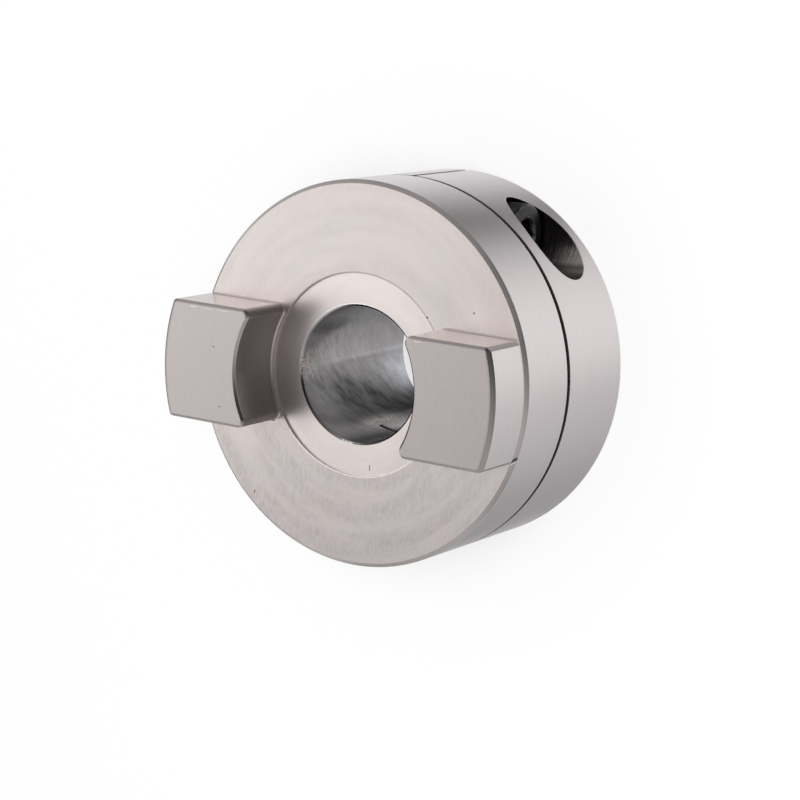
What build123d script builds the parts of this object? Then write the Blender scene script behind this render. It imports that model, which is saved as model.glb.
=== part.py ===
from build123d import *
import math
import os

# One hub of a three-piece cross-slider shaft coupling, the kind that clamps on its shaft.
# Sizes are in millimetres. The hub stands on its back face: the bore runs along Z,
# the two drive tenons point up and lie along X, and the clamp screw crosses the slit
# on the -Y side, with its head towards -X.

# Hub body
outside_diameter = 50.8
clamp_length = 14.3         # split end, from the back face to the cross slit
slit_width = 0.8            # one saw cuts both slits
front_length = 10.3         # solid end, from the cross slit to the face
hinge_offset = 2.9          # how far past the bore's axis the cross slit is sawn
rim_chamfer = 0.5
back_chamfer = 0.5

# Bore and the shallow recess round its mouth
bore_diameter = 18.0
bore_back_chamfer = 0.1
bore_mouth_chamfer = 0.25
recess_depth = 0.3
recess_margin = 0.35        # recess's edge to the tenons' inner faces

# Drive tenons
tenon_width = 15.7
tenon_height = 8.3
tenon_to_bore = 4.7         # bore's wall to the tenons' inner faces
tenon_outer_chamfer = 0.5   # front and upright edges on the outside diameter
tenon_edge_break = 0.3      # the other front edges
tenon_corner_radius = 1.0   # upright corners next to the bore
tenon_root_bevel = 0.2      # where the flanks and inner faces meet the face
relief_land = 0.5           # straight part of the groove turned at the tenons' feet

# Clamp screw, a socket-head cap screw
thread_diameter = 5.0
screw_length = 20.0
head_diameter = 8.5
head_height = 5.0
head_edge_radius = 0.4
socket_across_flats = 4.0
socket_depth = 2.5
socket_mouth_chamfer = 0.2
drill_point_angle = 118.0
tip_chamfer = 0.7

# How the screw sits in the hub
screw_to_rim = 7.05         # screw's axis to the outside diameter
seat_to_slit = 8.5          # face that the head bears on, to the middle of the slit
head_clearance = 0.575      # all round the head, in the counterbore
shank_clearance = 0.25      # all round the shank, in the drilled jaw
thread_clearance = 0.05     # all round the shank, in the tapped jaw

# Worked out from the sizes above
hub_radius = outside_diameter / 2
bore_radius = bore_diameter / 2
tenon_inner_radius = bore_radius + tenon_to_bore
recess_radius = tenon_inner_radius - recess_margin
face_height = clamp_length + slit_width + front_length
tenon_top = face_height + tenon_height
screw_y = screw_to_rim - hub_radius
screw_z = clamp_length / 2
head_radius = head_diameter / 2
thread_radius = thread_diameter / 2
overrun = 2.0               # how far each cutting tool passes the metal
blank_radius = hub_radius + overrun


def turned(points):
    """Solid of revolution about Z, from a closed outline of (radius, height) points."""
    outline = Polyline(*[(radius, 0, height) for radius, height in points], close=True)
    return revolve(make_face(outline), axis=Axis.Z)


def rod(radius, start, end):
    """Round rod on the clamp screw's axis, from one place along X to another."""
    middle = (start + end) / 2
    return Pos(middle, screw_y, screw_z) * Rot(0, 90, 0) * Cylinder(radius, end - start)


def countersink(radius, start, depth):
    """Cone on the clamp screw's axis, with its wide end at start and its point at start + depth."""
    return Pos(start + depth / 2, screw_y, screw_z) * Rot(0, 90, 0) * Cone(radius, 0, depth)


def from_axis(edge):
    """Distance of an edge's middle from the bore's axis."""
    middle = edge @ 0.5
    return math.hypot(middle.X, middle.Y)


def bored_blank():
    """Body below the face, with its bore, before the outside is turned."""
    return turned([
        (bore_radius + bore_back_chamfer, 0),
        (blank_radius, 0),
        (blank_radius, face_height),
        (bore_radius, face_height),
        (bore_radius, bore_back_chamfer),
    ])


def tenon_outline(side, margin):
    """Plan of one tenon, grown by a margin, with its outer end left long."""
    towards_rim = (Align.MIN if side > 0 else Align.MAX, Align.CENTER)
    bar = Rectangle(blank_radius - overrun / 2, tenon_width + 2 * margin, align=towards_rim)
    bar -= Circle(tenon_inner_radius - margin)
    corners = bar.vertices().sort_by(lambda corner: math.hypot(corner.X, corner.Y))
    return fillet(corners[:2], tenon_corner_radius + margin)


def tenon(side):
    """One drive tenon, rooted in the body, with its front edges broken and its foot flared."""
    bar = extrude(Pos(0, 0, face_height - overrun) * tenon_outline(side, 0), overrun + tenon_height)
    front_edges = bar.faces().sort_by(Axis.Z)[-1].edges()
    bar = chamfer([edge for edge in front_edges if from_axis(edge) < hub_radius], tenon_edge_break)
    foot = Pos(0, 0, face_height) * tenon_outline(side, tenon_root_bevel)
    return bar + extrude(foot, tenon_root_bevel, taper=45)


def outside_cut():
    """What turning the outside takes off: chamfered ends, and a groove at the tenons' feet."""
    floor = hub_radius - rim_chamfer
    groove_top = face_height + relief_land
    return turned([
        (hub_radius - back_chamfer - overrun, -overrun),
        (hub_radius, back_chamfer),
        (hub_radius, face_height - rim_chamfer),
        (floor, face_height),
        (floor, groove_top),
        (hub_radius, groove_top + rim_chamfer),
        (hub_radius, tenon_top - tenon_outer_chamfer),
        (hub_radius - tenon_outer_chamfer - overrun, tenon_top + overrun),
        (blank_radius + overrun, tenon_top + overrun),
        (blank_radius + overrun, -overrun),
    ])


def corner_cuts():
    """What takes the edge off the tenons' four outer upright corners."""
    corner_angle = math.asin(tenon_width / 2 / hub_radius)
    facing = (math.pi / 2 + corner_angle) / 2
    set_back = tenon_outer_chamfer * math.cos(facing)
    cut = Box(overrun, 2 * overrun, tenon_height + overrun, align=(Align.MIN, Align.CENTER, Align.MIN))
    cut = Rot(0, 0, math.degrees(facing)) * Pos(-set_back, 0, 0) * cut
    bottom = face_height + relief_land / 2
    cut = Pos(hub_radius * math.cos(corner_angle), tenon_width / 2, bottom) * cut
    pair = cut + mirror(cut, about=Plane.XZ)
    return pair + mirror(pair, about=Plane.YZ)


def face_recess():
    """Shallow recess round the bore, with the chamfer at the bore's mouth."""
    floor = face_height - recess_depth
    return turned([
        (0, floor - bore_mouth_chamfer),
        (bore_radius, floor - bore_mouth_chamfer),
        (bore_radius + bore_mouth_chamfer, floor),
        (recess_radius, floor),
        (recess_radius, face_height + overrun),
        (0, face_height + overrun),
    ])


def clamp_slits():
    """Cross slit that frees the split end, and the slit that opens it towards -Y."""
    cross = Pos(hinge_offset, 0, clamp_length) * Box(
        hinge_offset + blank_radius, 2 * blank_radius, slit_width,
        align=(Align.MAX, Align.CENTER, Align.MIN))
    opening = Pos(0, 0, clamp_length) * Box(
        slit_width, blank_radius, clamp_length + overrun,
        align=(Align.CENTER, Align.MAX, Align.MAX))
    return cross + opening


def screw_hole():
    """Counterbore from -X, clearance hole to the slit, then the tapped hole right through."""
    counterbore = rod(head_radius + head_clearance, -blank_radius, -seat_to_slit)
    drilled = rod(thread_radius + shank_clearance, -blank_radius, 0)
    tapped = rod(thread_radius + thread_clearance, -slit_width, blank_radius)
    return counterbore + drilled + tapped


def hub():
    """Hub: the blank with its tenons, turned outside, then recess, saw slits and screw hole."""
    solid = bored_blank() + tenon(1) + tenon(-1)
    return solid - outside_cut() - corner_cuts() - face_recess() - clamp_slits() - screw_hole()


def clamp_screw():
    """Cap screw: head bearing on the counterbore's floor, shank through the slit."""
    head_end = -seat_to_slit - head_height
    tip = screw_length - seat_to_slit
    head = rod(head_radius, head_end, -seat_to_slit)
    head = fillet(head.edges().sort_by(Axis.X)[0], head_edge_radius)
    shank = rod(thread_radius, -seat_to_slit, tip)
    shank = chamfer(shank.edges().sort_by(Axis.X)[-1], tip_chamfer)

    mouth_plane = Plane(origin=(head_end, screw_y, screw_z), x_dir=(0, 0, 1), z_dir=(1, 0, 0))
    corner_radius = socket_across_flats / math.sqrt(3)
    socket = extrude(mouth_plane * RegularPolygon(corner_radius, 6), socket_depth)
    drill_radius = socket_across_flats / 2
    drill_point = drill_radius / math.tan(math.radians(drill_point_angle / 2))
    socket += countersink(drill_radius, head_end + socket_depth, drill_point)
    mouth_radius = corner_radius + socket_mouth_chamfer
    return head + shank - socket - countersink(mouth_radius, head_end, mouth_radius)


os.makedirs("parts", exist_ok=True)
export_step(hub(), "parts/hub.step")
export_step(clamp_screw(), "parts/clamp_screw.step")
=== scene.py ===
import math

import bmesh
import bpy
from mathutils import Matrix, Vector


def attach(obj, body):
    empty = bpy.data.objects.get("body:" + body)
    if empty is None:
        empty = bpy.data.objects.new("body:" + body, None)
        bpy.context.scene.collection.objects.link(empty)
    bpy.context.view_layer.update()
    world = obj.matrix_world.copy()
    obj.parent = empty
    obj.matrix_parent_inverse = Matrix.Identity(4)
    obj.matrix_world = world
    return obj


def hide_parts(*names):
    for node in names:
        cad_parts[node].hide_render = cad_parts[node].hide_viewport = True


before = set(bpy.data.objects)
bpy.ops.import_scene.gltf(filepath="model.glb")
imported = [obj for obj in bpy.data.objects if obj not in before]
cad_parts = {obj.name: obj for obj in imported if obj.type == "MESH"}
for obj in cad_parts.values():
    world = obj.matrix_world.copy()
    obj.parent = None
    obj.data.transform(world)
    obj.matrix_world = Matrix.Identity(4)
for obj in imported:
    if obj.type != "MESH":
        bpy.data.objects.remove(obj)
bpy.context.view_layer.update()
print("frame loaded:", sorted(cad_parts))

scene = bpy.context.scene
scene.view_settings.view_transform = "Standard"
millimetre = 0.001      # m
softEnd = 0.05          # mm, of a mask's band that gives none of its own

# camera, where the reference picture was taken from
cameraLook = {
    "position": (-0.175305, -0.058848, 0.296268),
    "target": (-0.006745, 0.002268, 0.0254),
    "roll": -103.577,       # degrees about the line of sight
    "lens": 113.667,        # mm
    "sensor": 36.0,         # mm
    "nearest": 0.01,        # m
}


def makeCamera(look):
    data = bpy.data.cameras.new("photoCamera")
    data.sensor_fit = "HORIZONTAL"
    data.sensor_width = look["sensor"]
    data.lens = look["lens"]
    data.clip_start = look["nearest"]
    camera = bpy.data.objects.new("photoCamera", data)
    scene.collection.objects.link(camera)
    place = Vector(look["position"])
    aim = (Vector(look["target"]) - place).to_track_quat("-Z", "Y").to_matrix()
    turn = Matrix.Rotation(math.radians(look["roll"]), 3, "Z")
    camera.matrix_world = Matrix.Translation(place) @ (aim @ turn).to_4x4()
    scene.camera = camera


makeCamera(cameraLook)
print("camera placed")


# short ways to lay shader nodes: an input is a number, a colour or another node's output
def addNode(tree, kind, inputs=None, **settings):
    node = tree.nodes.new("ShaderNode" + kind)
    for name, value in settings.items():
        setattr(node, name, value)
    for key, value in (inputs or {}).items():
        if isinstance(value, bpy.types.NodeSocket):
            tree.links.new(value, node.inputs[key])
        else:
            node.inputs[key].default_value = value
    return node


def calc(tree, operation, first, second=0.0, third=0.0, clamp=False):
    values = {0: first, 1: second, 2: third}
    return addNode(tree, "Math", values, operation=operation, use_clamp=clamp).outputs[0]


def addUp(tree, value, masks, amounts):
    # each mask that is named shifts the value by its own amount
    for name, amount in amounts.items():
        value = calc(tree, "MULTIPLY_ADD", masks[name], amount, value)
    return value


def ramp(tree, value, low, high, start=0.0, end=1.0):
    values = {"Value": value, "From Min": low, "From Max": high, "To Min": start, "To Max": end}
    return addNode(tree, "MapRange", values, interpolation_type="SMOOTHSTEP").outputs[0]


def vector(tree, operation, first, second=(0, 0, 0), output=0):
    return addNode(tree, "VectorMath", {0: first, 1: second}, operation=operation).outputs[output]


def scaled(tree, value, factor):
    return addNode(tree, "VectorMath", {0: value, "Scale": factor}, operation="SCALE").outputs[0]


def split(tree, value):
    return addNode(tree, "SeparateXYZ", {0: value}).outputs


def joined(tree, *parts):
    return addNode(tree, "CombineXYZ", dict(enumerate(parts))).outputs[0]


def blend(tree, factor, first, second):
    return addNode(tree, "Mix", {0: factor, 6: first, 7: second}, data_type="RGBA").outputs[2]


def newGroup(name, inputs, output):
    group = bpy.data.node_groups.new(name, "ShaderNodeTree")
    for label, kind, value in inputs:
        socket = group.interface.new_socket(label, in_out="INPUT", socket_type="NodeSocket" + kind)
        socket.default_value = value
    label, kind = output
    group.interface.new_socket(label, in_out="OUTPUT", socket_type="NodeSocket" + kind)
    start = group.nodes.new("NodeGroupInput")
    end = group.nodes.new("NodeGroupOutput")
    return group, start.outputs, end.inputs[0]


def useGroup(tree, group, inputs):
    return addNode(tree, "Group", inputs, node_tree=group).outputs[0]


# studio: a white background, and the soft light that bare metal mirrors
worldLook = {
    "background": 1.0,      # what the camera sees
    "fill": 0.55,           # on matt surfaces
    "low": 0.03,            # mirrored between the panels
    "panels": [             # mirrored: towards, half width in degrees, strength
        ((-0.81, 0.34, 0.47), 34, 0.20),
        ((-0.05, 1.00, -0.08), 34, 0.68),
        ((0.80, -0.37, -0.47), 34, 0.20),
        ((0.45, -0.08, -0.89), 34, 0.72),
        ((0.52, 0.19, 0.83), 34, 0.15),
        ((0.75, -0.05, 0.66), 34, 0.79),
        ((-0.42, -0.35, -0.84), 34, 0.40),
        ((-0.20, 0.45, 0.87), 34, 0.20),
        ((0.61, -0.39, 0.69), 58, 0.53),
        ((0.39, -0.82, 0.42), 58, 0.11),
        ((0.95, -0.21, 0.25), 58, 0.48),
        ((-0.63, -0.76, -0.14), 58, 0.20),
        ((-0.79, 0.55, -0.25), 58, 0.58),
        ((-0.87, -0.28, -0.42), 58, 0.37),
        ((-0.16, 0.17, -0.97), 58, 0.45),
        ((0.70, 0.64, -0.31), 40, 0.42),
        ((-0.15, 0.05, 1.00), 28, 0.42),
    ],
    "walls": {              # mirrored all round, a little above and below the horizon
        "rise": 0.27, "reach": 0.2, "below": 0.42, "above": 0.5, "change": 0.05,
    },
}


def makePanelGroup():
    group, given, result = newGroup(
        "softPanel",
        [("Direction", "Vector", (0, 0, 1)), ("Towards", "Vector", (0, 0, 1)), ("Edge", "Float", 0.8)],
        ("Mask", "Float"))
    centre = vector(group, "NORMALIZE", given["Towards"])
    match = vector(group, "DOT_PRODUCT", given["Direction"], centre, "Value")
    group.links.new(ramp(group, match, given["Edge"], 1.0), result)
    return group


def mirroredLight(tree, look):
    direction = addNode(tree, "TexCoord").outputs["Generated"]
    panelGroup = makePanelGroup()
    light = look["low"]
    for towards, halfWidth, strength in look["panels"]:
        edge = math.cos(math.radians(halfWidth))
        mask = useGroup(tree, panelGroup, {"Direction": direction, "Towards": towards, "Edge": edge})
        light = calc(tree, "MULTIPLY_ADD", mask, strength, light)
    walls = look["walls"]
    rise = split(tree, direction)["Z"]
    gap = calc(tree, "SUBTRACT", calc(tree, "ABSOLUTE", rise), walls["rise"])
    mask = ramp(tree, calc(tree, "ABSOLUTE", gap), 0.0, walls["reach"], 1.0, 0.0)
    strength = ramp(tree, rise, -walls["change"], walls["change"], walls["below"], walls["above"])
    mask = calc(tree, "MULTIPLY", mask, strength)
    return calc(tree, "MULTIPLY_ADD", mask, calc(tree, "SUBTRACT", 1.0, light), light)


def makeWorld(look):
    world = bpy.data.worlds.new("studio")
    scene.world = world
    world.use_nodes = True
    tree = world.node_tree
    tree.nodes.clear()
    path = addNode(tree, "LightPath")
    seen = calc(tree, "MAXIMUM", path.outputs["Is Camera Ray"], path.outputs["Is Transmission Ray"])
    choice = {0: path.outputs["Is Glossy Ray"], 2: look["fill"], 3: mirroredLight(tree, look)}
    light = addNode(tree, "Mix", choice).outputs[0]
    light = addNode(tree, "Mix", {0: seen, 2: light, 3: look["background"]}).outputs[0]
    sky = addNode(tree, "Background", {"Color": (1, 1, 1, 1), "Strength": light})
    out = addNode(tree, "OutputWorld")
    tree.links.new(sky.outputs[0], out.inputs["Surface"])


floorLook = {"radius": 1.6, "sides": 96, "glow": 0.55, "paint": (0.5, 0.5, 0.5, 1)}


def makeFloor(look):
    mesh = bpy.data.meshes.new("studioFloor")
    bm = bmesh.new()
    bmesh.ops.create_circle(bm, cap_ends=True, segments=look["sides"], radius=look["radius"])
    bm.to_mesh(mesh)
    bm.free()
    floor = bpy.data.objects.new("studioFloor", mesh)
    scene.collection.objects.link(floor)
    material = bpy.data.materials.new("floorWhite")
    material.use_nodes = True
    tree = material.node_tree
    tree.nodes.clear()
    path = addNode(tree, "LightPath")
    seen = calc(tree, "MAXIMUM", path.outputs["Is Glossy Ray"], path.outputs["Is Transmission Ray"])
    seen = calc(tree, "MAXIMUM", seen, path.outputs["Is Camera Ray"])
    strength = calc(tree, "MULTIPLY", seen, look["glow"])
    glow = addNode(tree, "Emission", {"Color": (1, 1, 1, 1), "Strength": strength})
    paint = addNode(tree, "BsdfDiffuse", {"Color": look["paint"]})
    glowingPaint = addNode(tree, "AddShader", {0: glow.outputs[0], 1: paint.outputs[0]})
    out = addNode(tree, "OutputMaterial")
    tree.links.new(glowingPaint.outputs[0], out.inputs["Surface"])
    mesh.materials.append(material)
    floor.visible_glossy = False     # bare metal mirrors the studio below it too


keyLamp = {"from": (-0.32, -0.12, 0.80), "size": 0.45, "watts": 3.4}


def makeLamp(look):
    data = bpy.data.lights.new("keyLamp", "AREA")
    data.shape = "DISK"
    data.size = look["size"]
    data.energy = look["watts"]
    lamp = bpy.data.objects.new("keyLamp", data)
    lamp.visible_glossy = False      # bare metal mirrors the world's panels instead
    scene.collection.objects.link(lamp)
    place = Vector(look["from"])
    turn = (-place).to_track_quat("-Z", "Y").to_matrix().to_4x4()
    lamp.matrix_world = Matrix.Translation(place) @ turn


makeWorld(worldLook)
makeFloor(floorLook)
makeLamp(keyLamp)
print("stage and lamp ready")


# shader groups that the finishes share
def makeGrainGroup():
    # streaks of noise: a small stretch draws them out along that axis
    group, given, result = newGroup(
        "grainStreaks",
        [("Point", "Vector", (0, 0, 0)), ("Stretch", "Vector", (1, 1, 1)), ("Contrast", "Float", 0.2)],
        ("Mask", "Float"))
    point = vector(group, "MULTIPLY", given["Point"], given["Stretch"])
    settings = {"Vector": point, "Scale": 1.0, "Detail": 4.0, "Roughness": 0.6}
    noise = addNode(group, "TexNoise", settings).outputs[0]
    low = calc(group, "SUBTRACT", 0.5, given["Contrast"])
    high = calc(group, "ADD", 0.5, given["Contrast"])
    group.links.new(ramp(group, noise, low, high), result)
    return group


def makeBandGroup():
    # 1 where a value lies between two others, with soft ends
    group, given, result = newGroup(
        "softBand",
        [("Value", "Float", 0), ("From", "Float", 0), ("To", "Float", 1), ("Blur", "Float", softEnd)],
        ("Mask", "Float"))

    def ends(label):
        return [calc(group, side, given[label], given["Blur"]) for side in ("SUBTRACT", "ADD")]

    rise = ramp(group, given["Value"], *ends("From"))
    fall = ramp(group, given["Value"], *ends("To"), 1.0, 0.0)
    group.links.new(calc(group, "MULTIPLY", rise, fall), result)
    return group


def makeMarkGroup():
    # 1 along a short line between two points, fading over its width
    group, given, result = newGroup(
        "smallMark",
        [("Point", "Vector", (0, 0, 0)), ("From", "Vector", (0, 0, 0)), ("To", "Vector", (0, 0, 1)),
         ("Width", "Float", 0.1)],
        ("Mask", "Float"))
    line = vector(group, "SUBTRACT", given["To"], given["From"])
    away = vector(group, "SUBTRACT", given["Point"], given["From"])
    along = vector(group, "DOT_PRODUCT", away, line, "Value")
    whole = vector(group, "DOT_PRODUCT", line, line, "Value")
    nearest = scaled(group, line, calc(group, "DIVIDE", along, whole, clamp=True))
    gap = vector(group, "DISTANCE", away, nearest, "Value")
    core = calc(group, "MULTIPLY", given["Width"], 0.3)     # where it is still whole
    group.links.new(ramp(group, gap, core, given["Width"], 1.0, 0.0), result)
    return group


def makeEdgeGroup():
    # where the rounded normal leaves the true one, near a sharp edge
    group, given, result = newGroup(
        "edgeRub",
        [("Rounded", "Vector", (0, 0, 1)), ("True", "Vector", (0, 0, 1)), ("Point", "Vector", (0, 0, 0)),
         ("Break", "Float", 3.0)],
        ("Mask", "Float"))
    match = vector(group, "DOT_PRODUCT", given["Rounded"], given["True"], "Value")
    edge = ramp(group, match, 0.8, 0.995, 1.0, 0.0)     # cosines: 37 degrees off, and 6
    noise = addNode(group, "TexNoise", {"Vector": given["Point"], "Scale": given["Break"], "Detail": 3.0})
    broken = ramp(group, noise.outputs[0], 0.35, 0.6)
    group.links.new(calc(group, "MULTIPLY", edge, broken), result)
    return group


grainGroup = makeGrainGroup()
bandGroup = makeBandGroup()
markGroup = makeMarkGroup()
edgeGroup = makeEdgeGroup()


def band(tree, value, low, high, blur=softEnd):
    return useGroup(tree, bandGroup, {"Value": value, "From": low, "To": high, "Blur": blur})


def allMarks(tree, point, rows):
    total = 0.0
    for start, end, width in rows:
        mark = useGroup(tree, markGroup, {"Point": point, "From": start, "To": end, "Width": width})
        total = calc(tree, "MAXIMUM", mark, total)
    return total


def addGrain(tree, found, rows):
    # noise masks from a table: laid on which place, how fine along each axis, contrast
    for name, (place, stretch, contrast) in rows.items():
        inputs = {"Point": found[place], "Stretch": stretch, "Contrast": contrast}
        found[name] = useGroup(tree, grainGroup, inputs)


def addZones(tree, found, rows):
    # masks from a table: the product of masks above it, of bands (from, to, blur), of fades
    # (from, to, mask at each) and of the stronger of two masks
    for name, row in rows.items():
        parts = [found[other] for other in row.get("within", [])]
        parts += [band(tree, found[place], *limits) for place, limits in row.get("bands", {}).items()]
        parts += [ramp(tree, found[place], *limits) for place, limits in row.get("fades", {}).items()]
        if "either" in row:
            first, second = row["either"]
            parts.append(calc(tree, "MAXIMUM", found[first], found[second]))
        mask = parts[0]
        for part in parts[1:]:
            mask = calc(tree, "MULTIPLY", mask, part)
        found[name] = mask


def startMaterial(name):
    # a material, and what is found by name for it: places in mm here, masks later
    material = bpy.data.materials.new(name)
    material.use_nodes = True
    tree = material.node_tree
    coordinates = addNode(tree, "TexCoord").outputs
    point = scaled(tree, coordinates["Object"], 1 / millimetre)
    x, y, z = split(tree, point)
    return material, tree, {"point": point, "x": x, "y": y, "z": z, "normal": coordinates["Normal"]}


def roundEdges(tree, found, radius, broken):
    # a normal that is round at sharp edges, and a mask of where it is
    trueNormal = addNode(tree, "NewGeometry").outputs["Normal"]
    rounded = addNode(tree, "Bevel", {"Radius": radius}, samples=4).outputs[0]
    inputs = {"Rounded": rounded, "True": trueNormal, "Point": found["point"], "Break": broken}
    found["edges"] = useGroup(tree, edgeGroup, inputs)
    return rounded


def finishShader(tree, found, colour, rounded, look):
    # darker, lighter, rougher and raised where the look's tables say
    shader = tree.nodes["Principled BSDF"]
    colour = scaled(tree, colour, addUp(tree, look["brightness"], found, look["tone"]))
    tree.links.new(colour, shader.inputs["Base Color"])
    tree.links.new(addUp(tree, look["roughness"], found, look["rougher"]), shader.inputs["Roughness"])
    height = addUp(tree, 0.0, found, look["relief"])
    relief = {"Height": height, "Distance": millimetre / 1000, "Strength": 1.0, "Normal": rounded}
    tree.links.new(addNode(tree, "Bump", relief).outputs[0], shader.inputs["Normal"])
    return shader


def dress(obj, material):
    obj.data.materials.clear()
    obj.data.materials.append(material)


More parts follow.
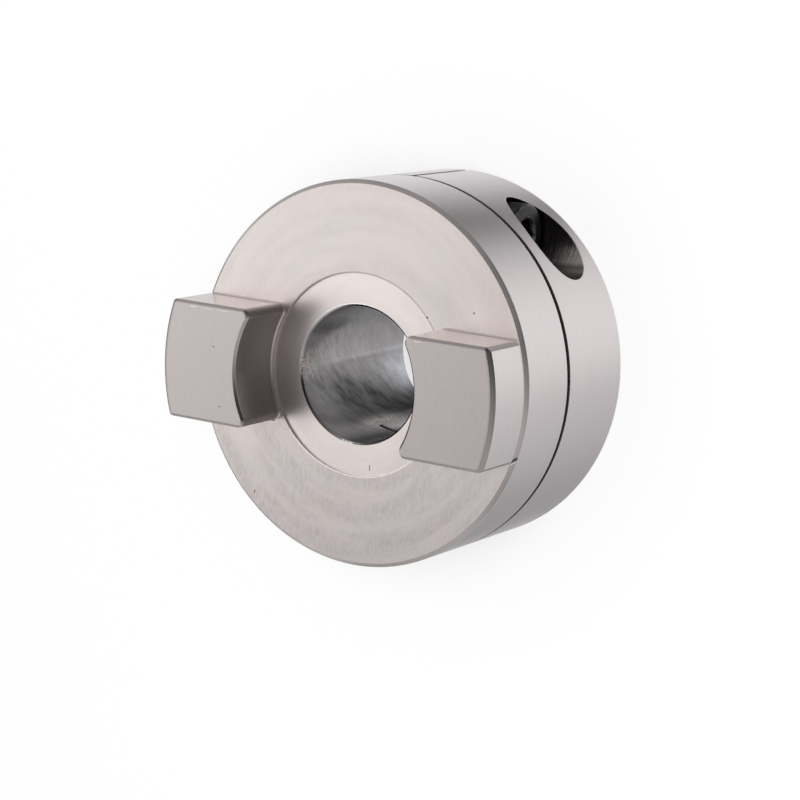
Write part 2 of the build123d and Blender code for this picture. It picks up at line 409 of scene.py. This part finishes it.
# hub: turned, milled and sawn aluminium
hubLook = {
    "colour": (0.73, 0.66, 0.645, 1),
    "faceColour": (0.69, 0.622, 0.608, 1),
    "coolColour": (0.683, 0.630, 0.613, 1),     # where the face looks less pink
    "zoneColours": {            # laid over one another in this order
        "recessFloor": (0.80, 0.727, 0.712, 1),
        "outside": (0.69, 0.641, 0.650, 1),
        # the bore is coloured darker: painted shade inside it
        "bore": (0.38, 0.365, 0.372, 1),
        # lighter and bluer: a painted highlight at the bore's back end
        "boreLitEnd": (0.60, 0.61, 0.66, 1),
        "warmth": (0.72, 0.64, 0.60, 1),
        "tenonFront": (0.50, 0.455, 0.445, 1),
        # painted highlights
        "glints": (0.98, 0.97, 0.96, 1),
        "sawn": (0.34, 0.30, 0.29, 1),
        "hole": (0.225, 0.205, 0.20, 1),
    },
    "brightness": 1.0,
    "tone": {                   # darker or lighter than the zone's colour
        "faceStreaks": -0.10, "faceArcs": -0.05, "faceClouds": -0.02, "lowerEnd": -0.07,
        "recessWall": 0.7, "ringEdge": 1.0, "rimShadeLow": -0.31, "rimShadeHigh": -0.31, "rimLight": 0.35,
        "tenonInside": -0.38, "tenonTopEdge": -0.45, "outerEdges": -0.30, "innerEdge": -0.6,
        "frontStreaks": -0.05, "outsideLines": -0.05, "drilled": 0.22, "mouthHighlight": 0.6,
        "boreStreaks": -0.18, "boreSmears": -0.10, "grit": 0.45, "mouthPatch": 0.35, "slitPatch": 0.55,
        "boreShadeBand": -0.46, "boreLowShade": -0.28, "dents": -0.6,
    },
    "roughness": 0.24,
    "rougher": {
        "face": 0.10, "tenonFront": 0.10, "outside": -0.02, "bore": -0.10, "tenonInside": 0.12,
        "glints": 0.3, "sawn": 0.26, "faceStreaks": 0.08, "warm": 0.22, "boreScores": 0.10, "edges": 0.05,
    },
    "relief": {                 # thousandths of a millimetre
        "faceStreaks": 5.0, "outsideLines": 2.0, "boreScores": 3.0, "grit": 8.0, "dents": -40.0,
        "sawnLines": 12.0, "thread": 80.0, "drilled": 12.0,
    },
    "warmth": {"grit": 0.5, "warm": 0.15},
    "glintMatt": -0.7,            # how far a painted glint is from bare metal
    "edgeRound": 0.00007,       # m, of the light-catching roundness of sharp edges
    "edgeBreak": 1.6,
    "screwAxis": (-18.35, 7.15),
    "threadPitch": 0.8,
    "boreDegree": 0.157,        # mm along the bore's wall
    "boreTwist": 1.5,           # degrees for each millimetre up the bore, of its band of painted shade
    "scoreSlant": 38,           # degrees
    "streakShare": (0.7, 0.3),  # of the face's streaks that follow its arcs, and that don't
    "recessEase": -0.6,         # of the streaks, in the recess
    "grain": {
        "streaks": ("point", (4.0, 0.95, 1.0), 0.22),
        "clouds": ("point", (0.11, 0.16, 0.1), 0.12),
        "pits": ("point", (3.2, 3.2, 3.2), 0.1),
        "arcs": ("lathe", (0.42, 1.3, 1.3), 0.16),
        "lines": ("lathe", (9.0, 1.2, 1.2), 0.25),
        "scores": ("boreWall", (0.5, 3.6, 1.0), 0.2),
        "smears": ("boreWall", (0.24, 0.6, 1.0), 0.18),
        "drillRings": ("holeWall", (3.0, 0.5, 1.0), 0.15),
    },
    "zones": {                  # mm, and degrees round the bore
        "level": {"fades": {"steep": (0.75, 0.9)}},
        "upright": {"fades": {"steep": (0.75, 0.9, 1.0, 0.0)}},
        "metal": {"bands": {"radius": (-1, 25.3)}},
        # the face, the recess in it, the outside and the rim
        "face": {"within": ["level"], "bands": {"z": (20, 27)}},
        "lowerEnd": {"within": ["face"], "fades": {"y": (8, 22)}},
        "lowerFace": {"fades": {"y": (-6, 14, 0.35, 1.0)}},
        "faceArcs": {"within": ["face", "arcs"]},
        "faceClouds": {"within": ["face", "clouds"]},
        "recess": {"bands": {"radius": (9.0, 13.3)}},
        "recessFloor": {"within": ["face", "recess"]},
        # a painted highlight on the recess's step, and along its edge painted shade on the -y side
        # turning to a painted highlight on the +y side
        "recessWall": {"bands": {"radius": (13.3, 13.45, 0.03), "z": (25.12, 25.38, 0.02)},
                       "fades": {"x": (8, 12, 1.0, 0.25)}},
        "ringEdge": {"within": ["face"], "bands": {"radius": (13.34, 13.52, 0.03)},
                     "fades": {"y": (-6, 9, -0.28, 0.35), "x": (8, 12, 1.0, 0.0)}},
        "outside": {"within": ["upright"], "bands": {"radius": (25.2, 26)}},
        "outsideLines": {"within": ["outside", "lines"]},
        "rim": {"bands": {"radius": (24.85, 25.36, 0.04), "z": (24.85, 25.4, 0.03)}},
        "rimShadeLow": {"within": ["rim"], "bands": {"angle": (90, 166, 12)}},
        "rimShadeHigh": {"within": ["rim"], "bands": {"angle": (-127, -44, 9)}},
        "rimLight": {"within": ["rim"], "bands": {"angle": (-172, -148, 8)}},
        # tenons
        "tenonFront": {"within": ["level"], "bands": {"z": (32.6, 34.6)}},
        "frontStreaks": {"within": ["tenonFront", "streaks"]},
        # painted shade on the tenons' inner walls
        "tenonInside": {"within": ["upright"], "bands": {"radius": (13.5, 14.1, 0.2), "z": (25.6, 33.3)}},
        # innerEdge, tenonTopEdge and outerEdges: painted shade along the tenons' edges
        "innerEdge": {"bands": {"radius": (13.55, 14.05, 0.04), "z": (33.38, 33.72, 0.02)},
                      "fades": {"y": (0.5, 7)}},
        "tenonTopEdge": {"bands": {"y": (-8.1, -7.48, 0.06), "z": (33.35, 34)}},
        "roundEdge": {"fades": {"radius": (24.55, 24.95)}},
        "lowerEdge": {"fades": {"y": (7.38, 7.5)}},
        "outerEdges": {"either": ["roundEdge", "lowerEdge"], "bands": {"z": (33.2, 34, 0.03)}},
        # saw slits and the clamp screw's hole
        "crossSlit": {"within": ["level"], "bands": {"z": (14.25, 15.15, 0.02)}},
        "clampSlit": {"bands": {"x": (-0.42, 0.42, 0.01), "z": (-1, 15.1), "y": (-27, -8.5)}},
        "sawn": {"within": ["metal"], "either": ["crossSlit", "clampSlit"]},
        "sawnLines": {"within": ["sawn", "lines"]},
        "hole": {"within": ["metal"], "bands": {"fromScrew": (-1, 4.9, 0.03)}},
        "drilled": {"within": ["hole", "drillRings"]},
        "thread": {"within": ["winding"], "bands": {"fromScrew": (2.4, 2.65, 0.02), "x": (0.4, 30)}},
        # bore
        "bore": {"within": ["upright"], "bands": {"radius": (-1, 9.4)}},
        "boreScores": {"within": ["bore", "scores"]},
        "boreSmears": {"within": ["bore", "smears"]},
        "boreStreaks": {"within": ["boreScores", "smears"]},
        # painted shade: a twisted band and a lower stretch of the bore made darker
        "boreShadeBand": {"within": ["bore"], "bands": {"twisted": (38, 78, 16)}},
        "boreLowShade": {"within": ["bore"], "bands": {"angle": (3, 62, 2.5), "z": (-1, 19, 4)}},
        # painted highlight at the bore's back end
        "boreLitEnd": {"within": ["bore"], "bands": {"angle": (6, 44, 12), "z": (-3, 5, 3)}},
        "mouthPatch": {"within": ["bore"], "bands": {"angle": (-12, 10, 8), "z": (22.5, 27, 1.5)}},
        "slitPatch": {"within": ["bore"], "bands": {"angle": (60, 74, 7), "z": (9, 17, 2.5)}},
        "warm": {"either": ["mouthPatch", "slitPatch"]},
        "grit": {"within": ["warm", "pits"]},
        # painted highlight on the chamfer at the bore's mouth
        "mouthHighlight": {"bands": {"radius": (9.12, 9.35, 0.03), "z": (24.83, 25.2, 0.02),
                               "angle": (-100, -2, 14)}},
        # painted highlights along short lines
        "glints": {"within": ["glintLines"], "fades": {"pits": (-0.3, 0.6)}},
    },
    "dents": [                  # small scratches and dents: from, to, width, mm
        ((-2.49, 11.65, 25.1), (-2.49, 12.25, 25.1), 0.085),
        ((-10.15, -8.9, 25.4), (-9.95, -8.8, 25.4), 0.15),
        ((-18.95, 19.79, 25.4), (-20.09, 19.19, 25.4), 0.07),
        ((12.2, -7.38, 33.6), (12.05, -7.3, 33.5), 0.42),
        ((-23.65, 7.65, 25.5), (-24.15, 7.25, 25.1), 0.26),
        ((17.16, -2.35, 33.7), (17.11, -2.29, 33.7), 0.10),
        ((15.94, 5.51, 33.7), (15.62, 5.37, 33.7), 0.05),
        ((-16.9, -10.4, 25.4), (-17.0, -10.3, 25.4), 0.11),
        ((15.4, 17.95, 25.4), (15.4, 18.3, 25.4), 0.08),
    ],
    "glintLines": [                 # painted highlights (glints): from, to, width, mm
        ((21.1, -7.2, 33.7), (20.0, -7.2, 33.7), 0.09),
        ((18.9, -7.19, 33.7), (17.6, -7.17, 33.7), 0.045),
        ((16.9, -7.19, 33.7), (15.0, -7.21, 33.7), 0.04),
        ((-13.5, -7.2, 33.7), (-14.3, -7.23, 33.7), 0.06),
        ((-23.6, 8.02, 25.35), (-24.2, 7.65, 25.05), 0.15),
        ((2.0, 9.02, 25.0), (0.5, 9.17, 25.0), 0.24),
    ],
}


def measureHub(tree, found, look):
    # places round the bore and round the clamp screw
    x, y, z = found["x"], found["y"], found["z"]
    flat = vector(tree, "MULTIPLY", found["point"], (1, 1, 0))
    radius = vector(tree, "LENGTH", flat, output="Value")
    away = split(tree, vector(tree, "NORMALIZE", flat))
    angle = calc(tree, "MULTIPLY", calc(tree, "ARCTAN2", y, x), 180 / math.pi)
    wall = joined(tree, calc(tree, "MULTIPLY", angle, look["boreDegree"]), z)
    slant = (0, 0, math.radians(look["scoreSlant"]))
    awayY = calc(tree, "SUBTRACT", y, look["screwAxis"][0])
    awayZ = calc(tree, "SUBTRACT", z, look["screwAxis"][1])
    around = calc(tree, "ARCTAN2", awayZ, awayY)
    winding = calc(tree, "MULTIPLY_ADD", x, 2 * math.pi / look["threadPitch"], around)
    found.update({
        "steep": calc(tree, "ABSOLUTE", split(tree, found["normal"])["Z"]),
        "radius": radius,
        "angle": angle,
        "lathe": joined(tree, calc(tree, "ADD", radius, z), away["X"], away["Y"]),
        "boreWall": addNode(tree, "Mapping", {"Vector": wall, "Rotation": slant}).outputs[0],
        "twisted": calc(tree, "MULTIPLY_ADD", z, look["boreTwist"], angle),
        "fromScrew": vector(tree, "LENGTH", joined(tree, awayY, awayZ), output="Value"),
        "holeWall": joined(tree, x, around),
        "winding": calc(tree, "SINE", winding),
    })


def faceStreaks(tree, found, look):
    # milled streaks, stronger along the turned arcs and lower down, weaker in the recess
    share = calc(tree, "MULTIPLY_ADD", found["arcs"], *look["streakShare"])
    ease = calc(tree, "MULTIPLY_ADD", found["recess"], look["recessEase"], 1.0)
    mask = calc(tree, "MULTIPLY", found["face"], found["streaks"])
    for part in (share, found["lowerFace"], ease):
        mask = calc(tree, "MULTIPLY", mask, part)
    return mask


def makeHubMaterial(look):
    material, tree, found = startMaterial("hubAluminium")
    measureHub(tree, found, look)
    rounded = roundEdges(tree, found, look["edgeRound"], look["edgeBreak"])
    found["dents"] = allMarks(tree, found["point"], look["dents"])
    found["glintLines"] = allMarks(tree, found["point"], look["glintLines"])
    addGrain(tree, found, look["grain"])
    addZones(tree, found, look["zones"])
    found["faceStreaks"] = faceStreaks(tree, found, look)
    found["warmth"] = addUp(tree, 0.0, found, look["warmth"])

    colour = blend(tree, found["clouds"], look["faceColour"], look["coolColour"])
    colour = blend(tree, found["face"], look["colour"], colour)
    for name, zoneColour in look["zoneColours"].items():
        colour = blend(tree, found[name], colour, zoneColour)
    shader = finishShader(tree, found, colour, rounded, look)
    tree.links.new(addUp(tree, 1.0, found, {"glints": look["glintMatt"]}), shader.inputs["Metallic"])
    return material


dress(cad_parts["hub"], makeHubMaterial(hubLook))
print("hub finished")


# clamp screw: socket-head cap screw in black oxide
clampScrew = {                          # mm, from the outer end of the head
    "place": (-13.5, -18.35, 7.15),     # of that end in the hub; the shank points along +X
    "headRadius": 4.25, "headHeight": 5.0, "edgeRadius": 0.4, "edgeTurns": (30, 60, 90),
    "socketFlats": 4.0, "socketDepth": 2.5, "mouthChamfer": 0.2, "drillPoint": 1.2, "pointRadius": 0.001,
    "ribs": 66, "ribDepth": 0.11, "ribStart": 0.62, "ribEnd": 4.45, "ribFade": 0.1, "ribRunOut": 0.12,
    "crestEase": 0.02, "collarDrop": 0.1, "footChamfer": 0.15,
    "neckRadius": 2.06, "neckEnd": 5.75, "neckFillet": ((0.35, 0.0), (0.08, 0.1), (0.0, 0.4)),
    "threadRadius": 2.5, "rootRadius": 2.06, "pitch": 0.8, "rootFlat": 0.2, "crestFlat": 0.1,
    "stepsPerTurn": 30, "weld": 0.002, "cutWeld": 0.0001,
    "length": 25.0, "tipChamfer": 0.7,
    "sharpAngle": 32,                   # degrees
    "finish": {
        "colour": (0.045, 0.043, 0.046, 1),
        "wornColour": (0.42, 0.40, 0.39, 1),
        "brightness": 1.1,
        "tone": {"clouds": -0.25, "endRings": 0.25, "speckle": -0.1},
        "roughness": 0.36,
        "rougher": {"clouds": 0.12, "worn": -0.08},
        "relief": {"endRings": 2.5, "speckle": 2.0},    # thousandths of a millimetre
        "worn": {"ribCrests": 0.35, "threadCrests": 0.5, "edges": 0.5, "rims": 0.55},
        "edgeRound": 0.00005,           # m
        "edgeBreak": 1.3,
        "ringDepth": 0.3,               # how much the end's rings follow the depth
        "grain": {
            "clouds": ("point", (1.3, 1.3, 1.3), 0.2),
            "speckle": ("point", (9.0, 9.0, 9.0), 0.15),
            "rings": ("turned", (11.0, 2.0, 1.0), 0.2),
        },
        "zones": {                      # radius, and depth from the head's outer end
            "endRings": {"within": ["rings"], "bands": {"depth": (-0.5, 0.05, 0.03)}},
            # worn where a key, the counterbore and the thread have rubbed
            "ribCrests": {"within": ["clouds"],
                          "bands": {"radius": (4.2, 4.4, 0.03), "depth": (0.6, 4.5, 0.1)}},
            "threadCrests": {"within": ["clouds"],
                             "bands": {"radius": (2.44, 2.6, 0.03), "depth": (6, 26, 0.3)}},
            "headRim": {"bands": {"radius": (4.0, 4.2, 0.06), "depth": (-0.5, 0.4, 0.1)}},
            "socketRim": {"bands": {"radius": (2.1, 2.56, 0.04), "depth": (-0.5, 0.25)}},
            "rims": {"either": ["headRim", "socketRim"], "fades": {"clouds": (0.1, 0.9)}},
        },
    },
}


def pullRing(bm, ring, radius, height):
    # extrudes a ring of edges and sets the new one's radius and height, which may depend on the angle
    made = bmesh.ops.extrude_edge_only(bm, edges=ring)["geom"]
    for vert in [item for item in made if isinstance(item, bmesh.types.BMVert)]:
        angle = math.atan2(vert.co.y, vert.co.x)
        reach = radius(angle) if callable(radius) else radius
        level = height(angle) if callable(height) else height
        vert.co = (reach * math.cos(angle), reach * math.sin(angle), level)
    return [item for item in made if isinstance(item, bmesh.types.BMEdge)]


def headOutline(size):
    # radius and height, from the head's outer end down to the neck
    head, edge = size["headRadius"], size["edgeRadius"]
    collar, foot = head - size["collarDrop"], size["headHeight"]
    sides = size["ribs"] * 2

    def ribbed(angle):
        groove = round(angle / (2 * math.pi) * sides) % 2
        return head - size["ribDepth"] * groove

    outline = [(head - edge, 0.0)]
    for swing in map(math.radians, size["edgeTurns"]):
        outline.append((head - edge * (1 - math.sin(swing)), edge * (1 - math.cos(swing))))
    outline += [
        (head - size["crestEase"], size["ribStart"] - size["ribFade"]),
        (ribbed, size["ribStart"]),
        (ribbed, size["ribEnd"]),
        (collar, size["ribEnd"] + size["ribRunOut"]),
        (collar, foot - size["footChamfer"]),
        (collar - size["footChamfer"], foot),
    ]
    outline += [(size["neckRadius"] + wider, foot + below) for wider, below in size["neckFillet"]]
    return outline


def makeHead(bm, size):
    flat = size["socketFlats"] / 2
    mouth = flat / math.cos(math.pi / 6) + size["mouthChamfer"]
    floor = size["socketDepth"]
    point = floor + size["drillPoint"]

    def hexagon(angle):
        return flat / math.cos((angle % (math.pi / 3)) - math.pi / 6)

    bmesh.ops.create_circle(bm, segments=size["ribs"] * 2, radius=flat)
    ring = list(bm.edges)
    bmesh.ops.translate(bm, verts=bm.verts, vec=(0, 0, floor))
    tip = pullRing(bm, ring, size["pointRadius"], point)
    tipVerts = list(dict.fromkeys(vert for edge in tip for vert in edge.verts))
    bmesh.ops.pointmerge(bm, verts=tipVerts, merge_co=(0, 0, point))
    ring = pullRing(bm, ring, hexagon, floor)
    ring = pullRing(bm, ring, hexagon, lambda angle: mouth - hexagon(angle))
    ring = pullRing(bm, ring, mouth, 0.0)
    for reach, level in headOutline(size):
        ring = pullRing(bm, ring, reach, level)
    return ring


def makeThread(bm, size):
    # one pitch of the thread's profile is spun along a helix, then cut square at both ends
    root, crest = size["rootRadius"], size["threadRadius"]
    pitch = size["pitch"]
    flank = (pitch - size["rootFlat"] - size["crestFlat"]) / 2
    start = size["neckEnd"] - 2 * pitch
    profile = [(root, 0), (root, size["rootFlat"]), (crest, size["rootFlat"] + flank),
               (crest, size["rootFlat"] + flank + size["crestFlat"]), (root, pitch)]
    verts = [bm.verts.new((reach, 0, start + along)) for reach, along in profile]
    edges = [bm.edges.new(pair) for pair in zip(verts, verts[1:])]
    turns = math.ceil((size["length"] - start) / pitch) + 1
    bmesh.ops.spin(bm, geom=verts + edges, cent=(0, 0, 0), axis=(0, 0, 1),
                   dvec=(0, 0, pitch / size["stepsPerTurn"]), angle=2 * math.pi * turns,
                   steps=size["stepsPerTurn"] * turns, use_merge=False)
    bmesh.ops.remove_doubles(bm, verts=bm.verts, dist=size["weld"])
    for level, side in ((size["neckEnd"], -1), (size["length"], 1)):
        cut = bmesh.ops.bisect_plane(bm, geom=list(bm.verts) + list(bm.edges) + list(bm.faces),
                                     dist=size["cutWeld"], plane_co=(0, 0, level),
                                     plane_no=(0, 0, side), clear_outer=True)
    tipEdges = [item for item in cut["geom_cut"] if isinstance(item, bmesh.types.BMEdge)]
    for vert in bm.verts:
        limit = crest - size["tipChamfer"] + (size["length"] - vert.co.z)
        reach = math.hypot(vert.co.x, vert.co.y)
        if reach > limit:
            vert.co.x *= limit / reach
            vert.co.y *= limit / reach
    bmesh.ops.edgeloop_fill(bm, edges=tipEdges)


def finishPiece(bm, name, size):
    # the shape's own axis becomes +X, and its millimetres become metres in the hub's frame
    turn = Matrix.Rotation(math.radians(90), 4, "Y")
    bmesh.ops.transform(bm, matrix=Matrix.Translation(size["place"]) @ turn, verts=bm.verts)
    bmesh.ops.scale(bm, vec=(millimetre, millimetre, millimetre), verts=bm.verts)
    bmesh.ops.recalc_face_normals(bm, faces=bm.faces)
    mesh = bpy.data.meshes.new(name)
    bm.to_mesh(mesh)
    bm.free()
    mesh.shade_smooth()
    mesh.set_sharp_from_angle(angle=math.radians(size["sharpAngle"]))
    piece = bpy.data.objects.new(name, mesh)
    scene.collection.objects.link(piece)
    return piece


def makeClampScrew(size):
    threadBm = bmesh.new()
    makeThread(threadBm, size)
    threadMesh = bpy.data.meshes.new("threadWork")
    threadBm.to_mesh(threadMesh)
    threadBm.free()
    bm = bmesh.new()
    neck = makeHead(bm, size)
    headEdges = set(bm.edges)
    bm.from_mesh(threadMesh)
    bpy.data.meshes.remove(threadMesh)
    start = [edge for edge in bm.edges if edge not in headEdges and edge.is_boundary]
    bmesh.ops.bridge_loops(bm, edges=neck + start)
    openEdges = sum(edge.is_boundary for edge in bm.edges)
    print("clamp screw:", len(bm.faces), "faces,", openEdges, "open edges")
    return finishPiece(bm, "clampScrew", size)


def makeScrewMaterial(look, place):
    material, tree, found = startMaterial("screwBlackOxide")
    headEnd, axisY, axisZ = place
    awayY = calc(tree, "SUBTRACT", found["y"], axisY)
    awayZ = calc(tree, "SUBTRACT", found["z"], axisZ)
    radius = vector(tree, "LENGTH", joined(tree, awayY, awayZ), output="Value")
    depth = calc(tree, "SUBTRACT", found["x"], headEnd)
    turned = joined(tree, radius, calc(tree, "MULTIPLY", depth, look["ringDepth"]))
    found.update({"radius": radius, "depth": depth, "turned": turned})
    rounded = roundEdges(tree, found, look["edgeRound"], look["edgeBreak"])
    addGrain(tree, found, look["grain"])
    addZones(tree, found, look["zones"])
    found["worn"] = calc(tree, "ADD", addUp(tree, 0.0, found, look["worn"]), 0.0, clamp=True)
    colour = blend(tree, found["worn"], look["colour"], look["wornColour"])
    shader = finishShader(tree, found, colour, rounded, look)
    shader.inputs["Metallic"].default_value = 1.0
    return material


screwPiece = makeClampScrew(clampScrew)
dress(screwPiece, makeScrewMaterial(clampScrew["finish"], clampScrew["place"]))
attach(screwPiece, "clamp_screw")
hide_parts("clamp_screw")
print("clamp screw finished")
